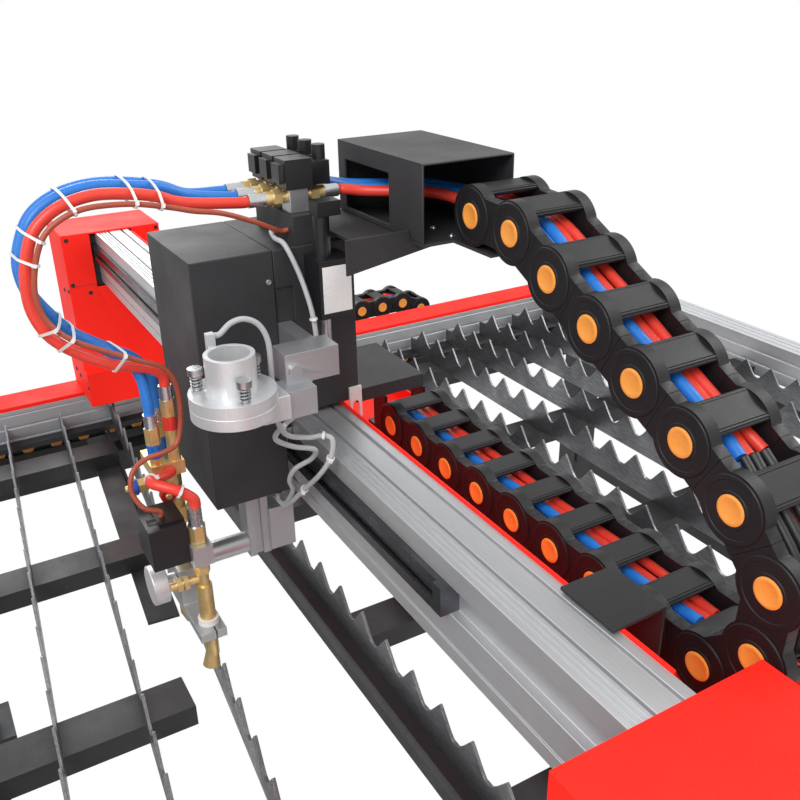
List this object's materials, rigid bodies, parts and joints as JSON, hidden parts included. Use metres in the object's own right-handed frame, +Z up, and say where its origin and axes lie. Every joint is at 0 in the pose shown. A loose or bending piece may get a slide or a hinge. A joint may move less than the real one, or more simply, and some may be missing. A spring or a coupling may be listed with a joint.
{
  "type": "CNC plasma table",
  "caption": "Slat-bed cutting table with a driven gantry, a carriage with a plasma torch collar and an oxy-fuel torch, and energy chains",
  "frame": {"origin": "on the floor, midway between the four corner anchor holes", "axes": "+X along the table, +Y along the gantry away from the picture's camera, +Z up"},
  "size_m": [3.37, 1.88, 1.367],
  "materials": {
    "black_steel": "semi-gloss powder coat",
    "red_paint": "satin enamel",
    "cover_paint": "fine textured powder coat",
    "rail_aluminium": "extruded, satin",
    "beam_aluminium": "extruded, satin anodised",
    "slat_steel": "hot rolled, dull",
    "zinc_steel": "zinc plated",
    "guide_steel": "ground, oiled",
    "machined_aluminium": "milled",
    "chromed": "polished",
    "brass": "turned, slightly tarnished",
    "black_plastic": "moulded, matt",
    "blue_plastic": "moulded",
    "red_plastic": "moulded",
    "blue_rubber": "smooth hose cover",
    "red_rubber": "smooth hose cover",
    "grey_rubber": "smooth cable jacket"
  },
  "bodies": {
    "table": {"legs": "black_steel", "levelling_feet": "zinc_steel", "frame_tubes": "black_steel", "slat_supports": "black_steel", "side_rails": "rail_aluminium", "end_rails": "rail_aluminium", "rail_strips": "red_paint", "table_guides": "guide_steel", "straight_slats": "slat_steel", "askew_slats": "slat_steel", "table_chain_tray": "black_steel", "table_chain_lower": "black_plastic"},
    "gantry": {"beam": "beam_aluminium", "beam_guide": "guide_steel", "end_covers": "red_paint", "end_plates": "black_steel", "table_bearings": "guide_steel", "table_motors": "black_steel", "beam_chain_tray": "red_paint", "chain_brackets": "black_steel", "beam_chain_lower": "black_plastic"},
    "far_pinion": {"far_table_pinion": "guide_steel"},
    "near_pinion": {"near_table_pinion": "guide_steel"},
    "table_chain_loop": {"table_chain_bend": "black_plastic"},
    "table_chain_run": {"table_chain_upper": "black_plastic"},
    "carriage": {"carriage_plate": "machined_aluminium", "beam_bearings": "guide_steel", "front_cover": "cover_paint", "rear_cover": "cover_paint", "rear_shelf": "cover_paint", "carriage_motors": "black_steel", "cable_arm": "cover_paint", "cable_box": "cover_paint", "valve_bodies": "zinc_steel", "valve_coils": "black_plastic", "hose_fittings": "brass", "supply_hoses": "blue_rubber", "height_sensor": "black_plastic", "torch_hoses": "blue_rubber", "signal_cables": "grey_rubber"},
    "carriage_pinion": {"beam_pinion": "guide_steel"},
    "plasma_screw": {"plasma_screw_shaft": "zinc_steel"},
    "oxy_screw": {"oxy_screw_shaft": "zinc_steel"},
    "beam_chain_loop": {"beam_chain_bend": "black_plastic"},
    "beam_chain_run": {"beam_chain_upper": "black_plastic"},
    "plasma_lifter": {"lift_arm": "machined_aluminium", "collar_base": "machined_aluminium", "collar_bolts": "zinc_steel", "collar_springs": "zinc_steel"},
    "torch_collar": {"collar_top": "machined_aluminium"},
    "oxy_lifter": {"oxy_slide_bar": "machined_aluminium", "torch_bar": "chromed", "oxy_torch": "brass", "torch_clamp": "machined_aluminium", "igniter_coil": "black_plastic", "pilot_torch": "brass", "pilot_hose": "red_rubber"},
    "knob_clamp": {"clamp_knob": "machined_aluminium"},
    "knob_blue": {"blue_knob": "blue_plastic"},
    "knob_red": {"red_knob": "red_plastic"}
  },
  "joints": [
    {"name": "gantry_slide", "type": "slide", "parent": "table", "child": "gantry", "axis": [1, 0, 0], "range_m": [-1.8, 1.15], "deforming": ["table_chain_lower", "table_chain_upper"]},
    {"name": "far_pinion_spin", "type": "hinge", "parent": "gantry", "child": "far_pinion", "pos_m": [0.343, 0.84, 0.6707], "axis": [0, 1, 0], "range_deg": [-4394, 6877]},
    {"name": "near_pinion_spin", "type": "hinge", "parent": "gantry", "child": "near_pinion", "pos_m": [0.343, -0.84, 0.6707], "axis": [0, 1, 0], "range_deg": [-4394, 6877]},
    {"name": "table_chain_loop_slide", "type": "slide", "parent": "table", "child": "table_chain_loop", "axis": [1, 0, 0], "range_m": [-0.9, 0.575]},
    {"name": "table_chain_run_slide", "type": "slide", "parent": "gantry", "child": "table_chain_run", "axis": [1, 0, 0], "range_m": [-0.575, 0.9]},
    {"name": "carriage_slide", "type": "slide", "parent": "gantry", "child": "carriage", "axis": [0, 1, 0], "range_m": [-0.29, 0.7], "deforming": ["beam_chain_lower", "beam_chain_upper"]},
    {"name": "carriage_pinion_spin", "type": "hinge", "parent": "carriage", "child": "carriage_pinion", "pos_m": [0.2928, -0.1275, 1.08], "axis": [0, 0, 1], "range_deg": [-1386, 3344]},
    {"name": "beam_chain_loop_slide", "type": "slide", "parent": "gantry", "child": "beam_chain_loop", "axis": [0, 1, 0], "range_m": [-0.145, 0.35]},
    {"name": "beam_chain_run_slide", "type": "slide", "parent": "carriage", "child": "beam_chain_run", "axis": [0, 1, 0], "range_m": [-0.35, 0.145]},
    {"name": "plasma_lift", "type": "slide", "parent": "carriage", "child": "plasma_lifter", "axis": [0, 0, 1], "range_m": [-0.055, 0.03], "deforming": ["signal_cables"]},
    {"name": "plasma_screw_turn", "type": "hinge", "parent": "carriage", "child": "plasma_screw", "pos_m": [0.332, -0.175, 1.18], "axis": [0, 0, 1], "range_deg": [-1982, 1081]},
    {"name": "collar_breakaway", "type": "slide", "parent": "plasma_lifter", "child": "torch_collar", "axis": [0, 0, 1], "range_m": [0, 0.006], "stiffness_N_per_m": 3000, "springref_m": -0.004, "deforming": ["collar_springs"]},
    {"name": "oxy_lift", "type": "slide", "parent": "carriage", "child": "oxy_lifter", "axis": [0, 0, 1], "range_m": [-0.1, 0.018], "deforming": ["torch_hoses", "signal_cables"]},
    {"name": "oxy_screw_turn", "type": "hinge", "parent": "carriage", "child": "oxy_screw", "pos_m": [0.253, -0.16, 1.12], "axis": [0, 0, 1], "range_deg": [-3602, 649]},
    {"name": "clamp_knob_turn", "type": "hinge", "parent": "oxy_lifter", "child": "knob_clamp", "pos_m": [0.15, -0.19, 0.948], "axis": [1, 0, 0], "range_deg": [-1080, 0]},
    {"name": "blue_knob_turn", "type": "hinge", "parent": "oxy_lifter", "child": "knob_blue", "pos_m": [0.147, -0.176, 1.058], "axis": [1, 0, 0], "range_deg": [-540, 0]},
    {"name": "red_knob_turn", "type": "hinge", "parent": "oxy_lifter", "child": "knob_red", "pos_m": [0.1755, -0.19, 1.048], "axis": [0, 1, 0], "range_deg": [-540, 0]}
  ],
  "couplings": [
    {"joint": "far_pinion_spin", "follows": "gantry_slide", "rad_per_m": -66.667},
    {"joint": "near_pinion_spin", "follows": "gantry_slide", "rad_per_m": -66.667},
    {"joint": "table_chain_loop_slide", "follows": "gantry_slide", "ratio": 0.5},
    {"joint": "table_chain_run_slide", "follows": "gantry_slide", "ratio": -0.5},
    {"joint": "carriage_pinion_spin", "follows": "carriage_slide", "rad_per_m": 83.333},
    {"joint": "beam_chain_loop_slide", "follows": "carriage_slide", "ratio": 0.5},
    {"joint": "beam_chain_run_slide", "follows": "carriage_slide", "ratio": -0.5},
    {"joint": "plasma_screw_turn", "follows": "plasma_lift", "rad_per_m": 628.32},
    {"joint": "oxy_screw_turn", "follows": "oxy_lift", "rad_per_m": 628.32}
  ]
}
